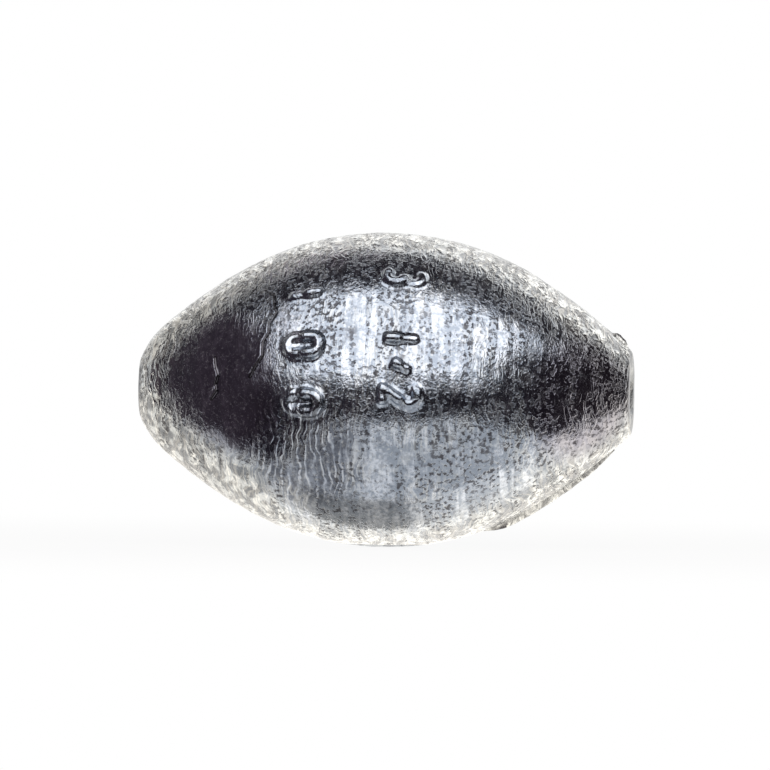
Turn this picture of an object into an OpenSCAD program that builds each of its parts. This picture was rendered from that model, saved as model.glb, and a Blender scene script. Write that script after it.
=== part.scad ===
// Egg sinker for fishing: one lead casting with a straight hole for the line, raised weight
// figures on its front, and two slivers of thin flash that the mould left on its parting line.
// Millimetres. The origin is the middle of the hole, +X runs along the hole and +Z is up.
// The figures face -Y, and the two halves of the mould parted in the plane y = 0.

/* [Body] */
// Length over the two flat ends
body_len = 35.7; // [30:0.1:60]
// Diameter at the belly
body_d = 22.8; // [16:0.2:32]
// Diameter at each end, before its edge is rounded
end_d = 6; // [5.4:0.1:9]
// Radius on the edge of the right flat
end_round = 0.45; // [0.1:0.05:0.7]
// Diameter of the left flat
left_flat_d = 4.2; // [4:0.1:5]
// Radius of the worn nose that runs from the left flat into the shoulder
nose_round = 6.5; // [4:0.1:9]
// Share of the half length that the arc of the belly covers
belly_reach_share = 0.59; // [0.5:0.01:0.65]
// Share of the rise from end to belly that is left where the arc of the belly stops
belly_stop_share = 0.66; // [0.6:0.01:0.72]

/* [Line hole] */
// Diameter of the hole that the line runs through
bore_d = 3; // [1.5:0.1:3.4]
// Chamfer at each mouth of the hole
mouth_chamfer = 0.3; // [0.1:0.05:0.5]

/* [Weight figures] */
// Height of a figure, measured along the body
figure_tall = 3.1; // [2.6:0.1:4]
// Width of a raised stroke
figure_stroke = 0.55; // [0.3:0.05:0.65]
// How far the figures stand off the body
figure_relief = 0.3; // [0.1:0.05:0.6]
// Step from one figure to the next, measured round the belly
figure_pitch = 4.4; // [3:0.1:5]
// Angle in degrees of the middle figure above the front
figure_turn = 18; // [-60:1:60]
// Place of the row of grams along the hole, from its middle
grams_x = -5.2; // [-8:0.1:-4.5]
// Place of the row of ounces along the hole, from its middle
ounces_x = 1.9; // [0:0.1:6]

/* [Flash] */
// Length of the long flash under the right shoulder, measured along the hole
lower_len = 9.4; // [5:0.1:11]
// Distance from the long flash to the right flat
lower_gap = 1.2; // [0.7:0.1:3]
// Length over which the long flash rises from the body, and then fades into it
lower_ramps = [1.8, 1.1];
// How far the long flash stands off the body
lower_proud = 0.4; // [0.2:0.1:1.2]
// Thickness of the long flash
lower_thick = 0.3; // [0.15:0.05:0.6]
// Length of the short flash above the right end, measured along the hole
upper_len = 1.15; // [0.9:0.05:2.5]
// Distance from the short flash to the right flat
upper_gap = 0.3; // [0.1:0.05:0.6]
// Length over which the short flash rises from the body, and then fades into it
upper_ramps = [0.4, 0.3];
// How far the short flash stands off the body
upper_proud = 0.35; // [0.1:0.05:0.6]
// Thickness of the short flash
upper_thick = 0.2; // [0.1:0.05:0.4]

/* [Hidden] */
$fn = 240;
overrun = 1;

// The text of each row, and each figure's place as a share of figure_pitch
GRAMS = ["1", "0", "0"];
GRAMS_SHARES = [-1, 0, 1];
OUNCES = ["3", "1", "/", "2"];
OUNCES_SHARES = [-1.3, -0.1, 0.36, 0.86];

// Angles in degrees between which the rings of a 2 and a 3 are open
TWO_OPEN = [160, 315];
THREE_OPEN = [150, 250];

half_len = body_len / 2;
belly_r = body_d / 2;
end_r = end_d / 2;

// Outline, as distances along the hole and out from it. An arc covers the belly as far as the
// join, and a flatter arc, tangent to it there, runs on down the shoulder to the end.
join_x = half_len * belly_reach_share;
join_r = end_r + (belly_r - end_r) * belly_stop_share;
belly_drop = belly_r - join_r;
belly_arc = (join_x * join_x + belly_drop * belly_drop) / (2 * belly_drop);
belly_c = belly_r - belly_arc;
join_slope = asin(join_x / belly_arc);
inward = [-sin(join_slope), -cos(join_slope)];
join_to_end = [half_len - join_x, end_r - join_r];
shoulder_arc = (join_to_end * join_to_end) / (2 * (inward * join_to_end));
shoulder_c = [join_x, join_r] + shoulder_arc * inward;

// Centre of the rounding at the right end, and the way from it to where it leaves the shoulder
round_x = half_len - end_round;
round_r = shoulder_c[1] + sqrt(pow(shoulder_arc - end_round, 2) - pow(round_x - shoulder_c[0], 2));
round_way = [round_x - shoulder_c[0], round_r - shoulder_c[1]] / (shoulder_arc - end_round);

// Centre of the arc of the left nose, which passes through the edge of the left flat and is
// tangent to the shoulder, and the ways from it to both. Its distances run towards the left.
nose_edge = [half_len, left_flat_d / 2];
edge_way = nose_edge - shoulder_c;
edge_reach = norm(edge_way);
nose_reach = shoulder_arc - nose_round;
reach_along = (pow(nose_reach, 2) - pow(nose_round, 2) + pow(edge_reach, 2)) / (2 * edge_reach);
reach_aside = sqrt(pow(nose_reach, 2) - pow(reach_along, 2));
nose_c = shoulder_c + (reach_along * edge_way + reach_aside * [-edge_way[1], edge_way[0]]) / edge_reach;
nose_ways = [(nose_edge - nose_c) / nose_round, (nose_c - shoulder_c) / nose_reach];

// Radius of the body at a distance along the hole
function radius_at(x) = x < join_x
    ? belly_c + sqrt(belly_arc * belly_arc - x * x)
    : shoulder_c[1] + sqrt(shoulder_arc * shoulder_arc - pow(x - shoulder_c[0], 2));

// Half outline in the plane of [distance from the hole, distance along it], grown evenly. The
// disc of the belly lies inside the flatter discs of the shoulders, and runs on under them.
module outline(grow = 0) {
    join = join_x + grow * sin(join_slope);
    reach = belly_r + grow + overrun;
    intersection() {
        translate([belly_c, 0]) circle(r = belly_arc + grow);
        translate([0, -half_len]) square([reach, body_len]);
    }
    for (side = [0, 1]) mirror([0, side]) intersection() {
        translate([shoulder_c[1], shoulder_c[0]]) circle(r = shoulder_arc + grow);
        translate([0, join]) square([reach, half_len - join]);
    }
}

// The sharp corner that an arc takes off an end, between two ways from the arc's centre
module end_corner(centre, arc, ways) {
    reach = 2 * arc;
    translate([centre[1], centre[0]]) difference() {
        polygon([[0, 0], for (way = ways) reach * [way[1], way[0]]]);
        circle(r = arc);
    }
}

// The egg shape, solid, with its ends rounded unless it is grown
module egg(grow = 0) {
    rotate([0, 90, 0]) rotate_extrude() difference() {
        outline(grow);
        if (grow == 0) {
            end_corner([round_x, round_r], end_round, [[1, 0], round_way]);
            mirror([0, 1]) end_corner(nose_c, nose_round, nose_ways);
        }
    }
}

module line_hole() {
    mouth_r = bore_d / 2 + mouth_chamfer;
    rotate([0, 90, 0]) {
        cylinder(h = body_len + 2 * overrun, d = bore_d, center = true);
        for (side = [0, 1]) mirror([0, 0, side]) translate([0, 0, half_len - mouth_chamfer])
            cylinder(h = mouth_chamfer + overrun, r1 = bore_d / 2, r2 = mouth_r + overrun);
    }
}

// Lays a drawing on the front: its up along +X, its right towards -Z, its thickness towards -Y
module on_front() {
    rotate([90, 0, 0]) rotate([0, 0, -90]) children();
}

// Figures, drawn upright about their own middle. Two rings, one above the other and sharing
// a stroke, set the width of all of them.
ring_r = (figure_tall + figure_stroke) / 4;
ring_mid = ring_r - figure_stroke / 2;

module upright_bar(wide, tall) {
    square([wide, tall - wide], center = true);
    for (side = [-1, 1]) translate([0, side * (tall - wide) / 2]) circle(d = wide);
}

module slanted_bar(from, to) {
    way = to - from;
    translate((from + to) / 2) rotate(atan2(way[1], way[0]) - 90)
        upright_bar(figure_stroke, norm(way) + figure_stroke);
}

// Upper ring of a 2 or a 3, open on its left between two angles
module open_ring(open) {
    far = 2 * ring_r;
    middle = (open[0] + open[1]) / 2;
    translate([0, ring_mid]) difference() {
        circle(r = ring_r);
        circle(r = ring_r - figure_stroke);
        polygon([[0, 0], for (a = [open[0], middle, open[1]]) far * [cos(a), sin(a)]]);
    }
}

module figure(name) {
    if (name == "0") difference() {
        upright_bar(2 * ring_r, figure_tall);
        upright_bar(2 * (ring_r - figure_stroke), figure_tall - 2 * figure_stroke);
    }
    if (name == "1") upright_bar(figure_stroke, figure_tall);
    if (name == "2") {
        foot = figure_stroke / 2 - figure_tall / 2;
        neck = [0, ring_mid] + ring_mid * [cos(TWO_OPEN[1]), sin(TWO_OPEN[1])];
        open_ring(TWO_OPEN);
        slanted_bar(neck, [-ring_mid, foot]);
        slanted_bar([-ring_mid, foot], [ring_mid, foot]);
    }
    if (name == "3") for (side = [0, 1]) mirror([0, side]) open_ring(THREE_OPEN);
    if (name == "/") slanted_bar([-ring_mid / 2, -ring_mid], [ring_mid / 2, ring_mid]);
}

// One row of raised figures round the front, at its place along the body
module figure_row(names, shares, x) {
    step = figure_pitch / belly_r * 180 / PI;
    for (i = [0 : len(names) - 1]) rotate([shares[i] * step - figure_turn, 0, 0])
        translate([x, 0, 0]) on_front() translate([0, 0, end_r])
            linear_extrude(height = belly_r) figure(names[i]);
}

module cast_body() {
    color([0.52, 0.55, 0.60]) difference() {
        union() {
            egg();
            intersection() {
                egg(figure_relief);
                union() {
                    figure_row(GRAMS, GRAMS_SHARES, grams_x);
                    figure_row(OUNCES, OUNCES_SHARES, ounces_x);
                }
            }
        }
        line_hole();
    }
}

// Thin blade in the parting plane below the body, which ends at a gap from the right flat. Its
// corners follow the outline: start, full height, start of the fade and end.
module flash_blade(length, gap, ramps, proud, thick) {
    end = half_len - gap;
    start = end - length;
    full = start + ramps[0];
    fade = end - ramps[1];
    top = belly_r + proud + overrun;
    difference() {
        intersection() {
            egg(proud);
            on_front() translate([0, 0, -thick / 2]) linear_extrude(height = thick)
                polygon([[0, start], [radius_at(start), start], [radius_at(full) + proud, full],
                         [top, full], [top, fade], [radius_at(fade) + proud, fade],
                         [radius_at(end), end], [0, end]]);
        }
        egg();
    }
}

module lower_flash() {
    color([0.30, 0.31, 0.34])
        flash_blade(lower_len, lower_gap, lower_ramps, lower_proud, lower_thick);
}

module upper_flash() {
    color([0.36, 0.37, 0.40]) rotate([180, 0, 0])
        flash_blade(upper_len, upper_gap, upper_ramps, upper_proud, upper_thick);
}

cast_body();
lower_flash();
upper_flash();
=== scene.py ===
# %% [markdown]
# An egg sinker is one piece of cast lead: an egg shape with a flat at each end, a straight hole
# for the fishing line, raised weight figures on one side, and here and there a sliver of thin
# flash where lead crept between the two halves of the mould. The packed frame gives its true
# size and place. This lesson turns the egg again on a lathe, in Blender, because a casting is
# never as smooth as its drawing, and then casts the figures onto it and gives it its skin.

# %% Load the packed frame
import math
from types import SimpleNamespace

import bpy
from mathutils import Matrix, Vector, kdtree, noise


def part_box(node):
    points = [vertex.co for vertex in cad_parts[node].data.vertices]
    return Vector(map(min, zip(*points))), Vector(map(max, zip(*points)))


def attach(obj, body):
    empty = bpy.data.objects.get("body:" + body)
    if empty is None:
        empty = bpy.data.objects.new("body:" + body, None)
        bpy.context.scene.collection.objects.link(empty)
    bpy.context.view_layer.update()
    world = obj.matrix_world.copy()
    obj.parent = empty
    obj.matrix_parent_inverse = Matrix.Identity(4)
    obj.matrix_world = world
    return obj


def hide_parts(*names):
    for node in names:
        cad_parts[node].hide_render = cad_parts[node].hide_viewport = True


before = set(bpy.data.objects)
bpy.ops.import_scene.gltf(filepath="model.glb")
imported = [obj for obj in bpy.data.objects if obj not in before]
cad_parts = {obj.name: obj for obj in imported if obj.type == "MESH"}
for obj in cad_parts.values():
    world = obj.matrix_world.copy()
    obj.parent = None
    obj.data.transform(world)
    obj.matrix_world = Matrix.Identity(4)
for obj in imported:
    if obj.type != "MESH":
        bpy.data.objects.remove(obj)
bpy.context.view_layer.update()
MM = 0.001
body_low, body_high = (Vector(corner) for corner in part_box("cast_body"))
half_len = body_high.x
belly_r = -body_low.z
floor_z = body_low.z
print("body half length", round(half_len / MM, 2), "mm, belly radius", round(belly_r / MM, 2), "mm")

# %% [markdown]
# The photograph looks at the sinker almost level with its middle and a little from its right,
# through a long lens that hardly shows perspective. The camera stands a metre away, and its focal
# length follows from how much of the scene the picture shows. It aims a little above the middle,
# and rolls a little, because the sinker lies lower in the picture and tilts.

# %% Camera
SENSOR = 36 * MM
VIEW_AZIMUTH = math.radians(4.5)
VIEW_ELEVATION = math.radians(1.0)
VIEW_DISTANCE = 1000 * MM
VIEW_WIDTH = 55.8 * MM
VIEW_ROLL = math.radians(0.7)
AIM = Vector((-0.08 * MM, 0, 0.36 * MM))
NEAREST_SEEN = 10 * MM
FARTHEST_SEEN = 10000 * MM

back_way = Vector((
    math.sin(VIEW_AZIMUTH) * math.cos(VIEW_ELEVATION),
    -math.cos(VIEW_AZIMUTH) * math.cos(VIEW_ELEVATION),
    math.sin(VIEW_ELEVATION),
))
bpy.ops.object.camera_add()
camera = bpy.context.object
camera.name = "camera"
camera.data.sensor_width = SENSOR / MM
camera.data.lens = SENSOR / MM * VIEW_DISTANCE / VIEW_WIDTH
camera.data.clip_start = NEAREST_SEEN
camera.data.clip_end = FARTHEST_SEEN
camera.rotation_mode = "QUATERNION"
camera.location = AIM + VIEW_DISTANCE * back_way
level = (-back_way).to_track_quat("-Z", "Y")
camera.rotation_quaternion = level @ Matrix.Rotation(VIEW_ROLL, 3, "Z").to_quaternion()
bpy.context.scene.camera = camera
print("lens", round(camera.data.lens, 1), "mm")

# %% [markdown]
# Every piece starts from a clean selection, because an operator acts on all that is selected.
# Pieces that belong together are joined into one mesh, which keeps the first one's place. A
# modifier is added, set and applied in one go, so that each step leaves a finished mesh.

# %% Helpers for pieces
def deselect_all():
    if bpy.context.mode != "OBJECT":
        bpy.ops.object.mode_set(mode="OBJECT")
    bpy.ops.object.select_all(action="DESELECT")


def pick(*pieces):
    """Selects these pieces alone, and makes the first one active."""
    deselect_all()
    for piece in pieces:
        piece.select_set(True)
    bpy.context.view_layer.objects.active = pieces[0]


def joined(pieces, name):
    pick(*pieces)
    bpy.ops.object.join()
    pieces[0].name = pieces[0].data.name = name
    return pieces[0]


def apply_modifier(piece, kind, **settings):
    bpy.context.view_layer.objects.active = piece
    modifier = piece.modifiers.new(kind.lower(), kind)
    for name, value in settings.items():
        setattr(modifier, name, value)
    bpy.ops.object.modifier_apply(modifier=modifier.name)


print("piece helpers ready")

# %% [markdown]
# A line is drawn as by hand: a plane is merged to one vertex, and the vertex is pushed along or
# spun about a centre, which leaves an edge behind it at each step.

# %% Helpers for drawing
def start_line(name, place):
    deselect_all()
    bpy.ops.mesh.primitive_plane_add(size=MM, location=place)
    line = bpy.context.object
    line.name = line.data.name = name
    bpy.ops.object.transform_apply(location=True)
    bpy.ops.object.mode_set(mode="EDIT")
    bpy.ops.mesh.merge(type="CENTER")
    return line


def next_line(place):
    bpy.ops.mesh.select_all(action="DESELECT")
    bpy.ops.mesh.primitive_plane_add(size=MM, location=place)
    bpy.ops.mesh.merge(type="CENTER")


def push(way, steps=1):
    for _ in range(steps):
        bpy.ops.mesh.extrude_region_move(TRANSFORM_OT_translate={"value": Vector(way) / steps})


def swing(centre, axis, angle, steps):
    bpy.ops.mesh.spin(steps=steps, angle=angle, center=centre, axis=axis)


def end_drawing():
    bpy.ops.object.mode_set(mode="OBJECT")


print("drawing helpers ready")

# %% [markdown]
# The outline is the one in the drawing: an arc over the belly and a flatter arc down each
# shoulder, tangent to it. A freehand curve could follow the picture more closely, but two arcs
# are as smooth as the cutter that made the mould, and only a few sizes describe them.

# %% Outline of the body
END_R = 3.0 * MM
END_ROUND = 0.45 * MM
LEFT_FLAT_R = 2.1 * MM
NOSE_ROUND = 6.5 * MM
BELLY_REACH_SHARE = 0.59
BELLY_STOP_SHARE = 0.66
BORE_R = 1.5 * MM
MOUTH_CHAMFER = 0.3 * MM

join = Vector((half_len * BELLY_REACH_SHARE, END_R + (belly_r - END_R) * BELLY_STOP_SHARE))
belly_drop = belly_r - join.y
belly_arc = (join.x ** 2 + belly_drop ** 2) / (2 * belly_drop)
belly_centre = belly_r - belly_arc
join_slope = math.asin(join.x / belly_arc)
inward = Vector((-math.sin(join_slope), -math.cos(join_slope)))
to_end = Vector((half_len, END_R)) - join
shoulder_arc = to_end.length_squared / (2 * inward.dot(to_end))
shoulder_centre = join + shoulder_arc * inward
print("arcs", round(belly_arc / MM, 2), round(shoulder_arc / MM, 2), "mm")

# %% [markdown]
# On the right a small rounding leads onto the flat. On the left the end is worn to a nose, an
# arc that leaves the shoulder smoothly and stops at the edge of a smaller flat. Two circles that
# touch have their centres as far apart as their radii differ, which gives the centre of each of
# these arcs.

# %% Roundings at the two ends
def slope_from(centre, point):
    return math.atan2(point.x - centre.x, point.y - centre.y)


def right_rounding():
    x = half_len - END_ROUND
    rise = math.sqrt((shoulder_arc - END_ROUND) ** 2 - (x - shoulder_centre.x) ** 2)
    return Vector((x, shoulder_centre.y + rise))


def left_nose(edge):
    way = edge - shoulder_centre
    reach = shoulder_arc - NOSE_ROUND
    along = (reach ** 2 - NOSE_ROUND ** 2 + way.length_squared) / (2 * way.length)
    aside = math.sqrt(reach ** 2 - along ** 2)
    return shoulder_centre + (along * way + aside * Vector((-way.y, way.x))) / way.length


right_centre = right_rounding()
nose_edge = Vector((half_len, LEFT_FLAT_R))
nose_centre = left_nose(nose_edge)
print("rounding centres", [round(v / MM, 2) for v in (*right_centre, *nose_centre)], "mm")

# %% [markdown]
# The pen draws each half of the outline from the belly down to its end, over the chamfer at the
# mouth of the hole and back along the wall of the hole to the middle. The left half is drawn to
# the right as well, and then turned over by a negative scale, so one function draws both.

# %% Draw the two halves
STEP = 0.25 * MM
MERGE = STEP / 20
LEAST_ARC_STEPS = 3
STEPS_PER_RADIUS = 5
FLAT_STEPS = 4
CHAMFER_STEPS = 2
BORE_STEPS = 40


def bend(centre, angle, radius, step=STEP):
    steps = max(LEAST_ARC_STEPS, round(radius * angle / step))
    swing((centre[0], 0, centre[1]), (0, -1, 0), angle, steps)


def draw_half(name, centre, radius, last_slope):
    """Half of the outline, with the arc that ends its shoulder, from the belly to the middle."""
    first_slope = slope_from(shoulder_centre, centre)
    line = start_line(name, (0, 0, belly_r))
    bend((0, belly_centre), join_slope, belly_arc)
    bend(shoulder_centre, first_slope - join_slope, shoulder_arc)
    bend(centre, last_slope - first_slope, radius, min(STEP, radius / STEPS_PER_RADIUS))
    to_mouth = BORE_R + MOUTH_CHAMFER - centre.y - radius * math.cos(last_slope)
    push((0, 0, to_mouth), FLAT_STEPS)
    push((-MOUTH_CHAMFER, 0, -MOUTH_CHAMFER), CHAMFER_STEPS)
    push((MOUTH_CHAMFER - half_len, 0, 0), BORE_STEPS)
    return line


right_half = draw_half("right_half", right_centre, END_ROUND, math.pi / 2)
left_half = draw_half("left_half", nose_centre, NOSE_ROUND, slope_from(nose_centre, nose_edge))
bpy.ops.mesh.select_all(action="SELECT")
bpy.ops.transform.resize(value=(-1, 1, 1), center_override=(0, 0, 0))
end_drawing()
cast_lead = joined([right_half, left_half], "cast_lead")
print("outline", len(cast_lead.data.vertices), "points")

# %% [markdown]
# The mould of an egg sinker is cut on a lathe, and spinning the outline about the axis of the
# hole does the same. A sphere could be stretched into an egg, but it would have poles where this
# one has a hole. The first and the last ring lie on each other and are merged, and the normals
# are turned outwards, which a negative scale and a spin can't be trusted with.

# %% Turn it on the lathe
LATHE_STEPS = 200

bpy.ops.object.mode_set(mode="EDIT")
bpy.ops.mesh.select_all(action="SELECT")
bpy.ops.mesh.remove_doubles(threshold=MERGE)
bpy.ops.mesh.spin(steps=LATHE_STEPS, angle=2 * math.pi, center=(0, 0, 0), axis=(1, 0, 0))
bpy.ops.mesh.select_all(action="SELECT")
bpy.ops.mesh.remove_doubles(threshold=MERGE)
bpy.ops.mesh.normals_make_consistent(inside=False)
end_drawing()
print("lathe", len(cast_lead.data.vertices), "vertices",
      [round(side / MM, 2) for side in cast_lead.dimensions], "mm")

# %% [markdown]
# The weight figures are beads of lead that filled grooves in the mould. They say 100, for grams,
# and 3 1/2, for ounces, which this egg weighs. A text object would give the sharp, even edges of
# a font, so each stroke is drawn as a line on a flat plane instead, and gets its round section
# later. Spin turns clockwise about its axis here, so the arcs are given in the order in which the
# pen meets them, in degrees.

# %% Strokes of the figures
FIGURE_TALL = 3.1 * MM
FIGURE_STROKE = 0.55 * MM
PEN_STEPS = 12
HOOK_START = 160
HOOK_SWEEP = 205
BOWL_SWEEP = 260
TOP_BOWL_START = 150
LOW_BOWL_START = 110

ring_mid = (FIGURE_TALL + FIGURE_STROKE) / 4 - FIGURE_STROKE / 2
pen_top = (FIGURE_TALL - FIGURE_STROKE) / 2


def pen_arc(centre_y, degrees):
    swing((0, centre_y, 0), (0, 0, 1), math.radians(degrees), PEN_STEPS)


def on_ring(centre_y, degrees):
    angle = math.radians(degrees)
    return ring_mid * math.cos(angle), centre_y + ring_mid * math.sin(angle), 0


def draw_0():
    start_line("figure_0", (-ring_mid, -ring_mid, 0))
    push((0, 2 * ring_mid, 0), PEN_STEPS)
    pen_arc(ring_mid, 180)
    push((0, -2 * ring_mid, 0), PEN_STEPS)
    pen_arc(-ring_mid, 180)


def draw_1():
    start_line("figure_1", (0, -pen_top, 0))
    push((0, 2 * pen_top, 0), PEN_STEPS)


def draw_2():
    start_line("figure_2", on_ring(ring_mid, HOOK_START))
    pen_arc(ring_mid, HOOK_SWEEP)
    neck = Vector(on_ring(ring_mid, HOOK_START - HOOK_SWEEP))
    push(Vector((-ring_mid, -pen_top, 0)) - neck, PEN_STEPS)
    push((2 * ring_mid, 0, 0), PEN_STEPS)


def draw_3():
    start_line("figure_3", on_ring(ring_mid, TOP_BOWL_START))
    pen_arc(ring_mid, BOWL_SWEEP)
    next_line(on_ring(-ring_mid, LOW_BOWL_START))
    pen_arc(-ring_mid, BOWL_SWEEP)


def draw_slash():
    start_line("figure_slash", (-ring_mid / 2, -ring_mid, 0))
    push((ring_mid, 2 * ring_mid, 0), PEN_STEPS)


PENS = {"0": draw_0, "1": draw_1, "2": draw_2, "3": draw_3, "/": draw_slash}
print("figures", round(FIGURE_TALL / MM, 2), "mm tall, of", len(PENS), "shapes")

# %% [markdown]
# The figures stand in two columns, and each lies on its side with its top towards the right end.
# A figure is moved out to the radius that the body has at its column, and then turned about the
# axis by its share of the pitch from one figure to the next.

# %% Lay the figures against the front
FIGURE_PITCH = 4.4 * MM
FIGURE_TURN = math.radians(18)
GRAMS_X = -5.2 * MM
OUNCES_X = 1.9 * MM
GRAMS = {"1": [-1], "0": [0, 1]}
OUNCES = {"3": [-1.3], "1": [-0.1], "/": [0.36], "2": [0.86]}
TO_FRONT = Matrix(((0, 1, 0), (0, 0, -1), (-1, 0, 0))).to_4x4()


def radius_at(x):
    x = abs(x)
    if x < join.x:
        return belly_centre + math.sqrt(belly_arc ** 2 - x ** 2)
    return shoulder_centre.y + math.sqrt(shoulder_arc ** 2 - (x - shoulder_centre.x) ** 2)


def figure_at(name, share, x):
    """Draws a figure flat, then lays it against the front with its top towards the right end."""
    PENS[name]()
    bpy.ops.mesh.select_all(action="SELECT")
    bpy.ops.mesh.remove_doubles(threshold=MERGE)
    end_drawing()
    figure = bpy.context.object
    turn = Matrix.Rotation(share * FIGURE_PITCH / belly_r - FIGURE_TURN, 4, "X")
    lift = Matrix.Translation((x, -radius_at(x), 0))
    figure.matrix_world = turn @ lift @ TO_FRONT
    bpy.ops.object.transform_apply(location=True, rotation=True)
    return figure


strokes = [figure_at(name, share, x) for row, x in ((GRAMS, GRAMS_X), (OUNCES, OUNCES_X))
           for name in row for share in row[name]]
figures = joined(strokes, "figures")
print("figures", len(strokes), "with", len(figures.data.vertices), "points")

# %% [markdown]
# A crease shows where a tongue of lead had already frozen when the next one reached it. It is a
# thin groove with a low lip beside it, too deep for a bump alone. Both follow the same few
# places, given as the distance along the body in millimetres and the angle above the front in
# degrees, so they are drawn with the same pen.

# %% Lines of the creases
CREASES = (
    ((-8.3, 48), (-7.6, 43), (-7.5, 38), (-7.3, 34), (-7.8, 29), (-7.8, 25), (-8.2, 21), (-8.2, 15),
     (-8.8, 10), (-9.1, 6)),
    ((-11.8, 17), (-11.7, 12), (-11.5, 8), (-11.7, 3), (-11.6, -1), (-12.0, -5)),
)
CREASE_STEPS = 4
LIP_AWAY = 0.17 * MM


def on_body(x, degrees):
    angle = math.radians(degrees)
    return Vector((x, -radius_at(x) * math.cos(angle), radius_at(x) * math.sin(angle)))


def crease_lines(name, shift):
    for number, crease_and_shade in enumerate(CREASES):
        places = [on_body(x * MM + shift, degrees) for x, degrees in crease_and_shade]
        if number == 0:
            line = start_line(name, places[0])
        else:
            next_line(places[0])
        for here, there in zip(places, places[1:]):
            push(there - here, CREASE_STEPS)
    end_drawing()
    return line


grooves = crease_lines("grooves", 0)
lips = crease_lines("lips", -LIP_AWAY)
print("creases", len(CREASES))

# %% [markdown]
# Shrinkwrap pulls the lines onto the skin, and the figures a little into it. As curves they then
# get a round section by their bevel, with a radius that wavers along them and shrinks at their
# ends, because lead never fills a groove evenly.

# %% Lay the lines on the body and make them round
FIGURE_BEAD = 0.42 * MM
FIGURE_SUNK = 0.10 * MM
GROOVE_R = 0.09 * MM
LIP_R = 0.09 * MM
BEAD_UNEVEN = 0.2
BEAD_WAVE = 0.7 * MM
BEAD_END_SHARE = 0.65
BEAD_RESOLUTION = 3


def lay_on(line, body, sunk=0):
    pick(line)
    apply_modifier(line, "SHRINKWRAP", target=body, offset=-sunk)
    return [point.co.copy() for point in line.data.vertices]


def make_round(line, radius):
    """Turns a line into a bead of about that radius, uneven along it and closed at its ends."""
    pick(line)
    bpy.ops.object.convert(target="CURVE")
    for spline in line.data.splines:
        for point in spline.points:
            point.radius = 1 + BEAD_UNEVEN * noise.noise(point.co.xyz / BEAD_WAVE)
        if not spline.use_cyclic_u:
            spline.points[0].radius = spline.points[-1].radius = BEAD_END_SHARE
    line.data.bevel_depth = radius
    line.data.bevel_resolution = BEAD_RESOLUTION
    line.data.use_fill_caps = True
    bpy.ops.object.convert(target="MESH")
    return len(line.data.polygons)


figure_points = lay_on(figures, cast_lead, FIGURE_SUNK)
crease_points = lay_on(grooves, cast_lead)
lay_on(lips, cast_lead)
print("bead faces", make_round(figures, FIGURE_BEAD), make_round(grooves, GROOVE_R),
      make_round(lips, LIP_R))

# %% [markdown]
# The pieces are still separate shells that pass through each other. A Boolean could unite them,
# but it would leave sharp corners, so a voxel remesh melts them into one skin, as the pour did.
# Smoothing rounds the foot and the shoulders of every figure, which lead doesn't fill sharply,
# and the edge of the worn left end. The thin grooves are cut after that, with a Boolean, because
# a remesh would close them.

# %% Melt it into one casting
VOXEL = 0.11 * MM
SMOOTH_FACTOR = 0.5
SKIN_SMOOTHS = 2
LEFT_SOFT = 0.8 * MM
LEFT_SMOOTHS = 15
FIGURE_REACH = 0.8 * MM
FIGURE_SMOOTHS = 6


def triangles(piece):
    return sum(len(face.vertices) - 2 for face in piece.data.polygons)


def closeness(piece, points, reach):
    """For each point of the mesh, one at the nearest of the points and zero at reach from it."""
    tree = kdtree.KDTree(len(points))
    for number, point in enumerate(points):
        tree.insert(point, number)
    tree.balance()
    return [max(0, 1 - tree.find(vertex.co)[2] / reach) for vertex in piece.data.vertices]


def smooth_where(piece, name, shares, iterations):
    """Smooths by each point's share, fully from one half on."""
    group = piece.vertex_groups.new(name=name)
    for number, share in enumerate(shares):
        if share > 0:
            group.add([number], min(1, 2 * share), "REPLACE")
    apply_modifier(piece, "SMOOTH", factor=SMOOTH_FACTOR, iterations=iterations, vertex_group=name)


cast_lead = joined([cast_lead, figures, lips], "cast_lead")
apply_modifier(cast_lead, "REMESH", mode="VOXEL", voxel_size=VOXEL)
apply_modifier(cast_lead, "SMOOTH", factor=SMOOTH_FACTOR, iterations=SKIN_SMOOTHS)
left_shares = [(LEFT_SOFT - half_len - point.co.x) / LEFT_SOFT for point in cast_lead.data.vertices]
smooth_where(cast_lead, "left_end", left_shares, LEFT_SMOOTHS)
figure_shares = closeness(cast_lead, figure_points, FIGURE_REACH)
smooth_where(cast_lead, "figures", figure_shares, FIGURE_SMOOTHS)
apply_modifier(cast_lead, "BOOLEAN", operation="DIFFERENCE", object=grooves, solver="FAST")
bpy.data.objects.remove(grooves)
print("melted", triangles(cast_lead), "triangles")

# %% [markdown]
# The surface now gets the low lumps of a hand casting and the faint rings that the mould's
# cutter left, which run round the axis: their noise is read through an empty that is stretched
# across it. Decimate comes last, and spends the faces where they count.

# %% Lumps and rings
LUMP_SIZE = 4.5 * MM
LUMP_DEPTH = 2
LUMP_HEIGHT = 0.12 * MM
LUMP_MIDDLE = 0.6
RING_SIZE = 0.8 * MM
RING_DEPTH = 1
RING_STRETCH = 9
RING_HEIGHT = 0.035 * MM
FACE_LIMIT = 190000


def noise_texture(name, size, depth):
    texture = bpy.data.textures.new(name, "CLOUDS")
    texture.noise_scale = size
    texture.noise_depth = depth
    return texture


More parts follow.
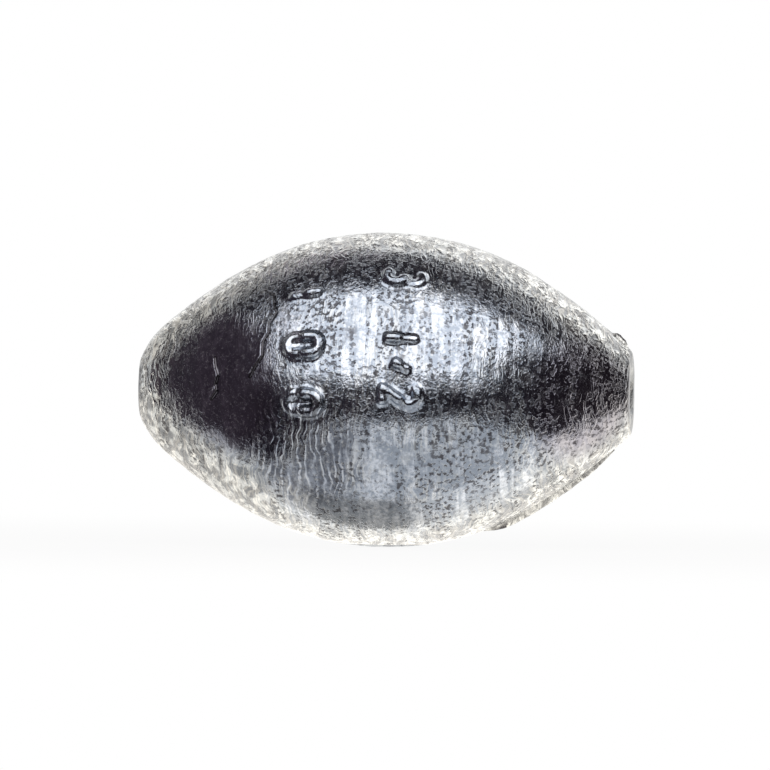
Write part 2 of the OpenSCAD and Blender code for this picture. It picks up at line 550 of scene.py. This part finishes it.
deselect_all()
bpy.ops.object.empty_add()
ring_guide = bpy.context.object
ring_guide.scale = (1, RING_STRETCH, RING_STRETCH)
bpy.context.view_layer.update()
apply_modifier(cast_lead, "DISPLACE", texture=noise_texture("lumps", LUMP_SIZE, LUMP_DEPTH),
               texture_coords="LOCAL", strength=LUMP_HEIGHT, mid_level=LUMP_MIDDLE)
apply_modifier(cast_lead, "DISPLACE", texture=noise_texture("rings", RING_SIZE, RING_DEPTH),
               texture_coords="OBJECT", texture_coords_object=ring_guide, strength=RING_HEIGHT)
bpy.data.objects.remove(ring_guide)
apply_modifier(cast_lead, "DECIMATE", ratio=FACE_LIMIT / triangles(cast_lead))
print("kept", triangles(cast_lead), "triangles")

# %% [markdown]
# Flash is lead that crept between the halves of the mould, so it stands in their parting plane,
# thick where it left the body and torn thin at its edge. A thin box would look cut out of sheet,
# so its two borders are drawn as lines, the root just inside the body and the ragged edge beyond
# it, and bridged. Noise bends it across its plane, and Solidify gives it its thickness, less of
# it towards the edge, as the weights of a vertex group say.

# %% Pen for the flash
FLASH_SUNK = 0.12 * MM
FLASH_CUTS = 5
FLASH_WAVE = 0.08 * MM
FLASH_WAVES = 6
FLASH_WAVE_DEPTH = 2
TORN_SHARE = 0.15


def skin_at(x, lift):
    """The outline's point at x, moved outwards along its normal."""
    centre = Vector((0, belly_centre)) if x < join.x else shoulder_centre
    point = Vector((x, radius_at(x)))
    return point + lift * (point - centre).normalized()


def draw_border(places, side, first):
    spots = [Vector((place.x, 0, side * place.y)) for place in places]
    line = start_line("flash", spots[0]) if first else next_line(spots[0])
    for here, there in zip(spots, spots[1:]):
        push(there - here)
    return line


def flash_blade(name, side, start, length, proud, thick, shares):
    """A blade that stands proud of the body, with its edge at shares of that height."""
    stations = [start + length * number / (len(shares) - 1) for number in range(len(shares))]
    blade = draw_border([skin_at(x, -FLASH_SUNK) for x in stations], side, True)
    draw_border([skin_at(x, proud * share) for x, share in zip(stations, shares)], side, False)
    bpy.ops.mesh.select_all(action="SELECT")
    bpy.ops.mesh.bridge_edge_loops()
    bpy.ops.mesh.select_all(action="SELECT")
    bpy.ops.mesh.subdivide(number_cuts=FLASH_CUTS)
    bpy.ops.mesh.normals_make_consistent(inside=False)
    end_drawing()
    blade.name = blade.data.name = name
    waves = noise_texture(name, length / FLASH_WAVES, FLASH_WAVE_DEPTH)
    apply_modifier(blade, "DISPLACE", texture=waves, direction="Y", texture_coords="LOCAL",
                   strength=FLASH_WAVE, mid_level=0.5)
    root = blade.vertex_groups.new(name="root")
    for vertex in blade.data.vertices:
        lift = abs(vertex.co.z) - radius_at(vertex.co.x)
        root.add([vertex.index], min(1, max(0, 1 - lift / proud)), "REPLACE")
    apply_modifier(blade, "SOLIDIFY", thickness=thick, offset=0, vertex_group=root.name,
                   thickness_vertex_group=TORN_SHARE)
    return blade


print("flash is rooted", round(FLASH_SUNK / MM, 2), "mm deep in the body")

# %% [markdown]
# One sliver is long and hangs under the right shoulder, and one is short and stands above the
# right end. Each has a row of shares of its height, which give its torn edge from left to right.

# %% The two slivers of flash
LOWER_LEN = 9.4 * MM
LOWER_FROM_END = 1.2 * MM
LOWER_PROUD = 0.4 * MM
LOWER_THICK = 0.26 * MM
LOWER_START = half_len - LOWER_FROM_END - LOWER_LEN
LOWER_EDGE = (0.05, 0.62, 0.97, 1, 0.93, 0.96, 0.86, 0.9, 0.78, 0.8, 0.66, 0.7, 0.55, 0.3, 0.05)
UPPER_LEN = 1.15 * MM
UPPER_FROM_END = 0.3 * MM
UPPER_PROUD = 0.3 * MM
UPPER_THICK = 0.16 * MM
UPPER_START = half_len - UPPER_FROM_END - UPPER_LEN
UPPER_EDGE = (0.05, 0.8, 1, 0.85, 0.9, 0.5, 0.05)

lower_flash = flash_blade("lower_sliver", -1, LOWER_START, LOWER_LEN, LOWER_PROUD, LOWER_THICK,
                          LOWER_EDGE)
upper_flash = flash_blade("upper_sliver", 1, UPPER_START, UPPER_LEN, UPPER_PROUD, UPPER_THICK,
                          UPPER_EDGE)
for sliver in (lower_flash, upper_flash):
    print(sliver.name, [round(side / MM, 2) for side in sliver.dimensions], "mm,",
          triangles(sliver), "triangles")

# %% [markdown]
# The finish needs to know where the creases, the beads of the figures and the shadow lines on the
# flash are.
# Each point of a mesh is given its closeness to them as an attribute, from one at the line to zero
# a little away from it, which the material reads like a painted mask. The creases and the shadow
# lines are darkened
# by it with painted shade: a groove on the body, and on the flash a dark line along the root of the
# lower sliver, its dark left tip, where its shadow falls, and most of the upper sliver. The shadow
# lines run along the flash at a few heights above the body, and two of them are short.

# %% Masks for the finish
CREASE_REACH = 0.22 * MM
SHADOW_LINE_REACH = 0.18 * MM
SHADOW_LINE_STEP = 0.1 * MM
# Lines on the flash that painted shade darkens: the side, where the line starts, how long it is,
# and how high above the body.
SHADOW_LINES = (
    (-1, LOWER_START, LOWER_LEN, 0.04 * MM),
    (-1, LOWER_START, 1.7 * MM, 0.16 * MM),
    (-1, LOWER_START, 1.5 * MM, 0.3 * MM),
    (1, UPPER_START, UPPER_LEN, 0.25 * MM),
)


def paint_mask(piece, name, points, reach):
    close = closeness(piece, points, reach)
    piece.data.attributes.new(name, "FLOAT", "POINT").data.foreach_set("value", close)
    return sum(1 for value in close if value > 0)


def shadow_line(side, start, length, lift):
    steps = range(round(length / SHADOW_LINE_STEP))
    spots = [skin_at(start + number * SHADOW_LINE_STEP, lift) for number in steps]
    return [Vector((spot.x, 0, side * spot.y)) for spot in spots]


# Painted shade: on the flash these lines give a dark root line, a dark left tip on the lower sliver
# and a darkened upper sliver.
shadow_line_spots = [spot for shadow_row in SHADOW_LINES for spot in shadow_line(*shadow_row)]
print("near a crease", paint_mask(cast_lead, "crease_and_shade", crease_points, CREASE_REACH),
      "near a figure", paint_mask(cast_lead, "figure", figure_points, FIGURE_REACH),
      "near a fold", paint_mask(lower_flash, "crease_and_shade", shadow_line_spots, SHADOW_LINE_REACH),
      paint_mask(upper_flash, "crease_and_shade", shadow_line_spots, SHADOW_LINE_REACH))

# %% [markdown]
# A material is written as sums. One small class wraps a socket, so that noise * 2 + 1 adds the
# Math nodes by itself, and every other node comes from one method that takes its type, its
# settings and what goes into its sockets.

# %% Shader maths
class Wire:
    """An output socket that can be added, subtracted and multiplied."""

    def __init__(self, paint, socket):
        self.paint = paint
        self.socket = socket

    def maths(self, operation, *values):
        return self.paint.node("ShaderNodeMath", {"operation": operation}, dict(enumerate(values)))

    def __add__(self, other):
        return self.maths("ADD", self, other)

    def __radd__(self, other):
        return self.maths("ADD", other, self)

    def __sub__(self, other):
        return self.maths("SUBTRACT", self, other)

    def __rsub__(self, other):
        return self.maths("SUBTRACT", other, self)

    def __mul__(self, other):
        return self.maths("MULTIPLY", self, other)

    def __rmul__(self, other):
        return self.maths("MULTIPLY", other, self)

    def most(self, other):
        return self.maths("MAXIMUM", self, other)

    def size(self):
        """The value without its sign."""
        return self.most(0 - self)

    def between(self, low, high):
        """Zero below low, one above high, and smooth in between."""
        return self.paint.node("ShaderNodeMapRange", {"interpolation_type": "SMOOTHSTEP"},
                               {"Value": self, "From Min": low, "From Max": high})


class Paint:
    """The node tree of a material or a world."""

    def __init__(self, owner):
        owner.use_nodes = True
        self.owner = owner
        self.tree = owner.node_tree

    def node(self, kind, settings=None, inputs=None, output=0):
        made = self.tree.nodes.new(kind)
        for name, value in (settings or {}).items():
            setattr(made, name, value)
        for name, value in (inputs or {}).items():
            self.plug(made.inputs[name], value)
        return Wire(self, made.outputs[output])

    def plug(self, socket, value):
        if isinstance(value, Wire):
            self.tree.links.new(value.socket, socket)
        else:
            socket.default_value = value

    def surface(self, shader):
        self.plug(self.tree.nodes["Material Output"].inputs["Surface"], shader)


print("maths ready")

# %% [markdown]
# The finish needs only a few kinds of node. Positions are Object coordinates in millimetres. A
# noise is given by its marks per millimetre along the axis and around it, its detail and its
# roughness, so that one pattern can be round as sand and another run round the egg. Thin winding
# lines lie where a noise passes through its middle value.

# %% Nodes of the finish
def place_of(paint):
    spot = paint.node("ShaderNodeTexCoord", output="Object")
    return paint.node("ShaderNodeVectorMath", {"operation": "SCALE"}, {0: spot, "Scale": 1 / MM})


def stretched(paint, place, way):
    return paint.node("ShaderNodeVectorMath", {"operation": "MULTIPLY"}, {0: place, 1: way})


def grown(paint, place, along, around, detail, roughness):
    return paint.node("ShaderNodeTexNoise", None, {
        "Vector": stretched(paint, place, (along, around, around)), "Scale": 1,
        "Detail": detail, "Roughness": roughness})


def lines(paint, place, pattern, thin, wide):
    return 1 - (grown(paint, place, *pattern) - 0.5).size().between(thin, wide)


def near(paint, place, spot, inside, outside):
    """One within a distance of a spot, and zero beyond a larger one."""
    apart = paint.node("ShaderNodeVectorMath", {"operation": "DISTANCE"},
                       {0: place, 1: spot}, "Value")
    return 1 - apart.between(inside, outside)


def mask(paint, name):
    return paint.node("ShaderNodeAttribute", {"attribute_name": name}, output="Fac")


def mix(paint, share, first, second):
    return paint.node("ShaderNodeMix", {"data_type": "RGBA"}, {0: share, 6: first, 7: second}, 2)


print("nodes ready")

# %% [markdown]
# The skin isn't the same all over. Near the parting plane it is rough and worn. The two shoulders
# of the front are smoother, and their colour is laid purple and dark: partly tarnish, and partly
# a painted reflection of the dark flags at the sides. Low on the left the lead froze in ripples.
# The faces at the ends and the mouths of the hole are scraped, and their colour is darkened with
# painted shade. Each is a mask from zero to one, from distances in millimetres or from the
# closeness that was painted on the mesh.

# %% Where the finish changes
# The two shoulder spots get a purple that is partly tarnish and partly a painted dark reflection.
CALM_SPOT = (-11.2, -7.2, 0.3)
CALM_REACH = (3.8, 6)
RIGHT_SPOT = (14.3, -5.3, -0.5)
RIGHT_REACH = (3, 5.5)
RIPPLE_SPOT = (-5.1, -9.4, -4.3)
RIPPLE_REACH = (3, 5.6)
RIM_FRONT = (-7.5, -3)
RIM_BACK = (1, 5)
LOW_LEFT = (6, 10)
LOW_LEFT_RIM = 0.45
CREASE_EDGE = (0.1, 0.6)
SCRAPED_END = (half_len / MM - 0.19, half_len / MM - 0.07)
SCRAPED_MOUTH = (BORE_R / MM + 0.15, BORE_R / MM + 0.45)
PITS_SPARED = 0.8
WEAR_SPARED = 0.9


def zones(paint, place):
    along, across, up = [paint.node("ShaderNodeSeparateXYZ", None, {0: place}, axis)
                         for axis in "XYZ"]
    from_axis = paint.node("ShaderNodeVectorMath", {"operation": "LENGTH"},
                           {0: stretched(paint, place, (0, 1, 1))}, "Value")
    low_left = (0 - up).most(0) * (0 - along).between(*LOW_LEFT)
    rim = (across + low_left * LOW_LEFT_RIM).between(*RIM_FRONT) * (1 - across.between(*RIM_BACK))
    calm = near(paint, place, CALM_SPOT, *CALM_REACH) * (1 - rim)
    # Painted dark reflection: the purple of the two front shoulders is partly tarnish and partly
    # stands in for the dark flags that they mirror.
    tarnish_and_dark_reflection = calm.most(near(paint, place, RIGHT_SPOT, *RIGHT_REACH))
    mouth = 1 - from_axis.between(*SCRAPED_MOUTH)
    return SimpleNamespace(
        rim=rim, calm=calm, tarnish_and_dark_reflection=tarnish_and_dark_reflection,
        worn=rim * (1 - tarnish_and_dark_reflection * WEAR_SPARED),
        rippled=near(paint, place, RIPPLE_SPOT, *RIPPLE_REACH),
        clean=(1 - calm * PITS_SPARED) * (1 - mask(paint, "figure") * PITS_SPARED),
        crease_and_shade=mask(paint, "crease_and_shade").between(*CREASE_EDGE),
        scraped=along.size().between(*SCRAPED_END).most(mouth))


print("scraped from", round(SCRAPED_END[0], 2), "mm along the axis")

# %% [markdown]
# The mould leaves a grain as fine as sand, crowds of little pits, which the colour fills with
# painted shade, and wrinkles where the skin froze as the lead still flowed, running round the axis.
# The worn skin is like crepe, with a painted highlight on its crests and painted shade in its
# hollows, and it is crossed by pale hairlines. A slow sideways warp keeps all of these from running
# straight. The metal itself is cloudy, with soft streaks round the axis and specks of pale bloom.
# Where a mark covers only a part of the skin, an edge gives the values of its noise between which
# it starts.

# %% Marks on the skin
NOISE = SimpleNamespace(
    warp=(0.35, 0.35, 2, 0.5), grain=(5.5, 5.5, 2, 0.6), wrinkles=(1.9, 0.22, 3, 0.55),
    pits=(3.2, 3.2, 2, 0.55), crowds=(0.45, 0.45, 2, 0.6), streaks=(1.3, 0.09, 2, 0.6),
    patches=(0.55, 0.55, 4, 0.6), mottle=(2.6, 2.6, 3, 0.65), bloom=(4.2, 4.2, 3, 0.75),
    crepe=(1.8, 0.8, 2, 0.5), gaps=(1, 0.5, 2, 0.6), haired=(0.3, 0.3, 2, 0.5),
    long_hairs=(2.1, 0.22, 1, 0.5), short_hairs=(3.1, 0.35, 1, 0.5))
EDGE = SimpleNamespace(
    pits=(0.37, 0.52), crowds=(0.38, 0.58), streaks=(0.44, 0.56), cloudy=(0.40, 0.62),
    bloom=(0.55, 0.65), crepe=(0.43, 0.58), gaps=(0.36, 0.56), haired=(0.42, 0.6),
    ripples=(0.6, 1.1), long_hairs=(0.01, 0.05), short_hairs=(0.014, 0.06))
RIPPLES = {"Scale": 0.6, "Distortion": 3.2, "Detail": 2, "Detail Scale": 1}
SWAY = 2.2
RIPPLE_IN_GAPS = 0.2
FEW_HAIRS = 0.35
PITS_ANYWHERE = 0.1
PITS_IN_CROWDS = 0.4
PITS_IN_STREAKS = 0.7


def marks(paint, place, zone, pitted):
    """Masks of the marks. pitted is the share of the pits, one on the body."""
    sway = grown(paint, place, *NOISE.warp) * SWAY
    way = paint.node("ShaderNodeCombineXYZ", None, {"X": sway})
    wavy = paint.node("ShaderNodeVectorMath", {"operation": "ADD"}, {0: place, 1: way})

    waves = paint.node("ShaderNodeTexWave", {"bands_direction": "X"},
                       {"Vector": wavy, **RIPPLES}, "Fac")
    gaps = grown(paint, place, *NOISE.gaps).between(*EDGE.gaps)
    gaps = gaps * (1 - RIPPLE_IN_GAPS) + RIPPLE_IN_GAPS

    haired = grown(paint, place, *NOISE.haired).between(*EDGE.haired) * FEW_HAIRS
    hairs = lines(paint, wavy, NOISE.long_hairs, *EDGE.long_hairs)
    hairs = hairs.most(lines(paint, wavy, NOISE.short_hairs, *EDGE.short_hairs))

    streaks = grown(paint, place, *NOISE.streaks).between(*EDGE.streaks)
    crowds = grown(paint, place, *NOISE.crowds).between(*EDGE.crowds)
    crowds = crowds * PITS_IN_CROWDS + streaks * PITS_IN_STREAKS + PITS_ANYWHERE
    pits = 1 - grown(paint, place, *NOISE.pits).between(*EDGE.pits)

    mottle = grown(paint, place, *NOISE.mottle)
    patches = grown(paint, place, *NOISE.patches)
    return SimpleNamespace(
        ripples=waves.between(*EDGE.ripples) * zone.rippled * gaps,
        hairs=hairs * (haired.most(zone.worn) * zone.clean),
        pits=pits * crowds * zone.clean * pitted,
        streaks=streaks, mottle=mottle,
        cloudy=(patches * 0.5 + mottle * 0.5).between(*EDGE.cloudy),
        bloom=grown(paint, place, *NOISE.bloom).between(*EDGE.bloom),
        crepe=grown(paint, wavy, *NOISE.crepe).between(*EDGE.crepe),
        wrinkles=grown(paint, wavy, *NOISE.wrinkles),
        grain=grown(paint, place, *NOISE.grain))


print("noises", len(vars(NOISE)))

# %% [markdown]
# Fresh lead is bluish and bright, and dulls within days to a darker blue-grey. All of the skin is
# metal, so the colour stays close to one grey: a cloudy mixture of the dull and the bright lead,
# with thin coats over it. Each coat has its colour and the share that it covers where its mark
# is full. Some coats are painted light: a painted highlight of bright lead and pale bloom on the
# crests of the ripples and of the crepe, a purple on the two front shoulders that is partly tarnish
# and partly a painted dark reflection, and last a near-black painted shade in the creases, the
# pits, the hollows of the crepe, the troughs of the ripples, and on the scraped ends and mouths.

# %% Colour of the lead
NAVY = (0.10, 0.115, 0.15, 1)
RIM_GREY = (0.38, 0.39, 0.35, 1)
# Pale, for bloom specks, hairlines and painted highlights.
BLOOM_AND_HIGHLIGHT = (0.74, 0.74, 0.71, 1)
# Purple, partly tarnish and partly a painted dark reflection.
TARNISH_AND_DARK_REFLECTION = (0.21, 0.165, 0.21, 1)
# Near black, for painted shade.
SHADE_BLACK = (0.05, 0.045, 0.05, 1)
SHARE = SimpleNamespace(streaks=0.8, ripple_ground=0.72, ripples=0.7, rim=0.4, bloom=0.35,
                        crepe=0.36, hairs=0.9, tarnish_and_dark_reflection=0.45)
# Shares of the painted shade.
SHADE_SHARE = SimpleNamespace(crease_and_shade=0.94, pits=0.72, crepe=0.58, ripples=0.5, scraped=0.4)


def lead_colour(paint, zone, mark, dull, bright):
    # Pale: specks of bloom and hairlines, and a painted highlight on the crests of the worn crepe.
    pale = (mark.bloom * SHARE.bloom).most(mark.crepe * zone.worn * SHARE.crepe)
    pale = pale.most(mark.hairs * SHARE.hairs)
    # Painted shade, near black: in the creases and along the flash's shadow lines, in the pits, in
    # the hollows of the worn crepe, in the troughs of the ripples, and on the scraped ends and
    # mouths.
    painted_shade = (zone.crease_and_shade * SHADE_SHARE.crease_and_shade).most(mark.pits * SHADE_SHARE.pits)
    painted_shade = painted_shade.most((1 - mark.crepe) * zone.worn * SHADE_SHARE.crepe)
    painted_shade = painted_shade.most(zone.rippled * (1 - mark.cloudy) * SHADE_SHARE.ripples - mark.ripples)
    painted_shade = painted_shade.most(zone.scraped * SHADE_SHARE.scraped)
    coats = (
        # The ripple zone is laid navy, and the crests of the ripples get a painted highlight of
        # bright lead.
        (zone.rippled * SHARE.ripple_ground, NAVY),
        (mark.ripples * SHARE.ripples, bright),
        (zone.rim * SHARE.rim, RIM_GREY),
        (pale, BLOOM_AND_HIGHLIGHT),
        # Purple on the shoulders, partly tarnish and partly a painted dark reflection.
        (zone.tarnish_and_dark_reflection * SHARE.tarnish_and_dark_reflection, TARNISH_AND_DARK_REFLECTION),
        (painted_shade, SHADE_BLACK),
    )
    colour = mix(paint, mark.cloudy * (1 - mark.streaks * SHARE.streaks), dull, bright)
    for share, coat in coats:
        colour = mix(paint, share, colour, coat)
    return colour


print("coats ready")

# %% [markdown]
# The look of cast lead comes mostly from how its relief scatters the studio. Heights are in
# millimetres, and the bump's distance is one of them. Where the lead is calm, on the purple
# shoulders, or worn, a part of the grain and the wrinkles is lost.

# %% Relief of the skin
HEIGHT = SimpleNamespace(grain=0.012, wrinkles=0.024, ripples=0.03, crepe=0.036, hairs=0.028,
                         pits=0.022, crease_and_shade=0.01, scraped=0.05)
GRAIN_LOST = 0.006
RIM_LOSES = 0.8
WRINKLES_LOST = 0.018


def lead_relief(zone, mark):
    fine = mark.grain * (HEIGHT.grain - zone.tarnish_and_dark_reflection.most(zone.rim * RIM_LOSES) * GRAIN_LOST)
    raised = (fine + mark.wrinkles * (HEIGHT.wrinkles - zone.calm * WRINKLES_LOST)
              + mark.ripples * HEIGHT.ripples + mark.crepe * zone.worn * HEIGHT.crepe
              + mark.hairs * HEIGHT.hairs)
    return (raised - mark.pits * HEIGHT.pits - zone.crease_and_shade * HEIGHT.crease_and_shade
            + zone.scraped * mark.mottle * HEIGHT.scraped)


print("highest relief", max(vars(HEIGHT).values()), "mm")

# %% [markdown]
# Two materials come from the same recipe. The body is half shiny, and bluer and darker than the
# flash, which was torn and never touched the mould, so it is pale, matt and hardly pitted.

# %% Finishes of the lead
LEAD_DULL = (0.26, 0.295, 0.35, 1)
LEAD_BRIGHT = (0.59, 0.63, 0.70, 1)
LEAD_ROUGH = 0.15
FLASH_DULL = (0.80, 0.80, 0.79, 1)
FLASH_BRIGHT = (0.93, 0.92, 0.90, 1)
FLASH_ROUGH = 0.4
FLASH_PITS = 0.1
BLOOM_HIDES_METAL = 0.12
ROUGHER = SimpleNamespace(cloudy=0.06, pits=0.25, tarnish_and_dark_reflection=-0.03)
SCRAPED_ROUGH = 0.4


def cast_skin(name, dull, bright, rough, pitted):
    """rough is the roughness of clean metal, and pitted the share of the pits."""
    paint = Paint(bpy.data.materials.new(name))
    place = place_of(paint)
    zone = zones(paint, place)
    mark = marks(paint, place, zone, pitted)
    roughness = rough + mark.cloudy * ROUGHER.cloudy + mark.pits * ROUGHER.pits
    roughness = roughness + zone.tarnish_and_dark_reflection * ROUGHER.tarnish_and_dark_reflection
    bumps = paint.node("ShaderNodeBump", None, {
        "Strength": 1, "Distance": MM, "Height": lead_relief(zone, mark)}, "Normal")
    shader = paint.tree.nodes["Principled BSDF"]
    paint.plug(shader.inputs["Base Color"], lead_colour(paint, zone, mark, dull, bright))
    paint.plug(shader.inputs["Metallic"], 1 - mark.bloom * BLOOM_HIDES_METAL)
    paint.plug(shader.inputs["Roughness"], roughness.most(zone.scraped * SCRAPED_ROUGH))
    paint.plug(shader.inputs["Normal"], bumps)
    return paint.owner


lead_skin = cast_skin("cast_lead_skin", LEAD_DULL, LEAD_BRIGHT, LEAD_ROUGH, 1)
flash_skin = cast_skin("torn_lead_skin", FLASH_DULL, FLASH_BRIGHT, FLASH_ROUGH, FLASH_PITS)
print("finishes", lead_skin.name, flash_skin.name)

# %% [markdown]
# Each finished piece gets its material and smooth shading. Then it rides on the one body, and
# the part of the drawing that it replaces is hidden.

# %% Dress the pieces and set them on the body
def dress(piece, skin, node):
    piece.data.materials.clear()
    piece.data.materials.append(skin)
    pick(piece)
    bpy.ops.object.shade_smooth()
    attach(piece, "root")
    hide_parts(node)


dress(cast_lead, lead_skin, "cast_body")
dress(lower_flash, flash_skin, "lower_flash")
dress(upper_flash, flash_skin, "upper_flash")
print("dressed")

# %% [markdown]
# Polished and cast metal is photographed by what it mirrors. The white of the floor and the
# world is made by their own glow, which only a camera, a mirror or a glass ray meets, so it
# puts no more light on the object, and the floor still takes its shadow.

# %% Floor and world
FLOOR_SIZE = 3.0
FLOOR_GLOW = 0.92
FLOOR_NEAR = 20 * MM
FLOOR_FAR = 90 * MM
WORLD_LIGHT = 0.25


def seen(paint):
    """One for a camera, glossy or glass ray, and zero for the light that surfaces scatter."""
    rays = [paint.node("ShaderNodeLightPath", output=f"Is {kind} Ray")
            for kind in ("Camera", "Glossy", "Transmission")]
    return rays[0].most(rays[1]).most(rays[2])


def white_floor():
    deselect_all()
    bpy.ops.mesh.primitive_plane_add(size=FLOOR_SIZE, location=(0, 0, floor_z))
    floor = bpy.context.object
    floor.name = "floor"
    paint = Paint(bpy.data.materials.new("white_floor"))
    spot = paint.node("ShaderNodeTexCoord", output="Object")
    far = paint.node("ShaderNodeVectorMath", {"operation": "LENGTH"}, {0: spot}, "Value")
    white = far.between(FLOOR_NEAR, FLOOR_FAR) * (1 - FLOOR_GLOW) + FLOOR_GLOW
    glow = paint.node("ShaderNodeEmission")
    card = paint.node("ShaderNodeBsdfDiffuse")
    paint.surface(paint.node("ShaderNodeMixShader", None, {
        0: seen(paint) * white, 1: card, 2: glow}))
    floor.data.materials.append(paint.owner)


def white_world():
    paint = Paint(bpy.data.worlds.new("studio"))
    bpy.context.scene.world = paint.owner
    sky = paint.tree.nodes["Background"]
    sky.inputs["Color"].default_value = (1, 1, 1, 1)
    paint.plug(sky.inputs["Strength"], seen(paint) * (1 - WORLD_LIGHT) + WORLD_LIGHT)


white_floor()
white_world()
bpy.context.scene.view_settings.view_transform = "Standard"
print("floor at", round(floor_z / MM, 2), "mm")

# %% [markdown]
# The light comes from a wide softbox that leans over the front of the sinker, and from cream
# sheets round the back, which draw the pale rim. Their places and sizes are in metres.

# %% Softboxes
WARM_WHITE = (1, 0.975, 0.965)
CREAM = (1, 0.96, 0.90)
SHEET_AWAY = 0.45


def way_to(azimuth, elevation):
    """A direction from the sinker, with azimuth 0 towards the camera and 90 to the right."""
    turn, rise = math.radians(azimuth), math.radians(elevation)
    return Vector((math.sin(turn) * math.cos(rise), -math.cos(turn) * math.cos(rise),
                   math.sin(rise)))


def softbox(name, place, facing, width, height, radiance, colour):
    deselect_all()
    bpy.ops.object.light_add(type="AREA", location=place)
    lamp = bpy.context.object
    lamp.name = name
    lamp.data.shape = "RECTANGLE"
    lamp.data.size = width
    lamp.data.size_y = height
    lamp.data.energy = radiance * math.pi * width * height
    lamp.data.color = colour
    lamp.rotation_mode = "QUATERNION"
    lamp.rotation_quaternion = facing.to_track_quat("Z", "Y")
    lamp.visible_camera = False


behind = way_to(180, 36)
behind_right = way_to(136, 34)
softbox("window", (0.009, -0.222, 0.147), way_to(0, 67.4),
        width=0.48, height=0.39, radiance=1.2, colour=WARM_WHITE)
softbox("back_sheet", SHEET_AWAY * behind, behind,
        width=0.62, height=0.34, radiance=0.55, colour=CREAM)
softbox("back_right_sheet", SHEET_AWAY * behind_right, behind_right,
        width=0.42, height=0.34, radiance=0.45, colour=CREAM)

# %% [markdown]
# Black flags at the sides, in front and overhead give the metal its dark bands, as a product
# photographer sets them, and pale cards on the floor brighten it from below. The grey one under
# the belly fades at both ends, as a torn card does in rough metal. Flags and cards meet mirror
# rays alone, so they neither light nor shade anything. Each is a row: its name, its lowest and
# its highest corner in metres, its glow, its colour, and the glow that it fades to, if it does.

# %% Flags and cards
PLUM = (1, 0.78, 0.97)
BLACK = 0.03
DIM = 0.075
CARD_THICK = 0.1 * MM
FADE = (0.2, 0.5)
just_up = floor_z + 0.3 * MM
CARDS = (
    ("left_floor_flag", (-0.03, -0.15, just_up), (-0.0125, -0.009, just_up), DIM, PLUM),
    ("far_left_floor_flag", (-0.30, -0.15, just_up), (-0.03, -0.003, just_up), DIM, PLUM),
    ("right_floor_flag", (0.024, -0.15, just_up), (0.04, -0.0065, just_up), BLACK, PLUM),
    ("far_right_floor_flag", (0.04, -0.15, just_up), (0.30, -0.002, just_up), BLACK, PLUM),
    ("front_floor_flag", (-0.3, -0.30, just_up), (0.3, -0.032, just_up), BLACK, PLUM),
    ("left_flag", (-0.20, -0.165, just_up), (-0.20, 0.07, 0.30), DIM, PLUM),
    ("low_left_flag", (-0.20, -0.30, just_up), (-0.20, -0.165, 0.055), DIM, PLUM),
    ("right_flag", (0.30, -0.30, just_up), (0.30, 0.10, 0.20), BLACK, PLUM),
    ("high_right_flag", (0.30, -0.07, 0.20), (0.30, 0.15, 0.60), BLACK, PLUM),
    ("front_flag", (-0.3, -0.30, just_up), (0.3, -0.30, 0.052), BLACK, PLUM),
    ("top_flag", (-0.30, -0.041, 0.20), (0.30, 0.108, 0.20), BLACK, PLUM),
    ("left_card", (-0.22, 0.07, 0.06), (-0.22, 0.42, 0.34), 0.85, CREAM),
    ("high_back_flag", (-0.50, 0.30, 0.30), (-0.08, 0.30, 0.80), 0.3, PLUM),
    ("under_flag", (-0.010, -0.0085, just_up), (0.0055, -0.0048, just_up), 0.55, CREAM, 1.5),
    ("right_card", (0.0055, -0.0085, just_up), (0.024, -0.0048, just_up), 1.6, CREAM),
    ("back_left_card", (-0.15, -0.0048, just_up), (-0.009, 0.15, just_up), 1.4, CREAM),
    ("back_card", (-0.009, -0.0048, just_up), (0.15, 0.15, just_up), 1.85, CREAM),
)


def glow_of(paint, colour, strength):
    return paint.node("ShaderNodeEmission", None, {"Color": (*colour, 1), "Strength": strength})


def card_at(name, low, high, glow, colour, beyond=None):
    deselect_all()
    low, high = Vector(low), Vector(high)
    bpy.ops.mesh.primitive_cube_add(size=1, location=(low + high) / 2)
    card = bpy.context.object
    card.name = name
    card.scale = [max(side, CARD_THICK) for side in high - low]
    paint = Paint(bpy.data.materials.new(name))
    shine = glow_of(paint, colour, glow)
    if beyond:
        spot = paint.node("ShaderNodeTexCoord", output="Object")
        side = paint.node("ShaderNodeSeparateXYZ", None, {0: spot}, "X")
        shine = paint.node("ShaderNodeMixShader", None, {
            0: side.size().between(*FADE), 1: shine, 2: glow_of(paint, colour, beyond)})
    paint.surface(shine)
    card.data.materials.append(paint.owner)
    card.visible_camera = card.visible_transmission = False
    card.visible_diffuse = card.visible_shadow = False


for row in CARDS:
    card_at(*row)
print("flags and cards", len(CARDS))

# %% [markdown]
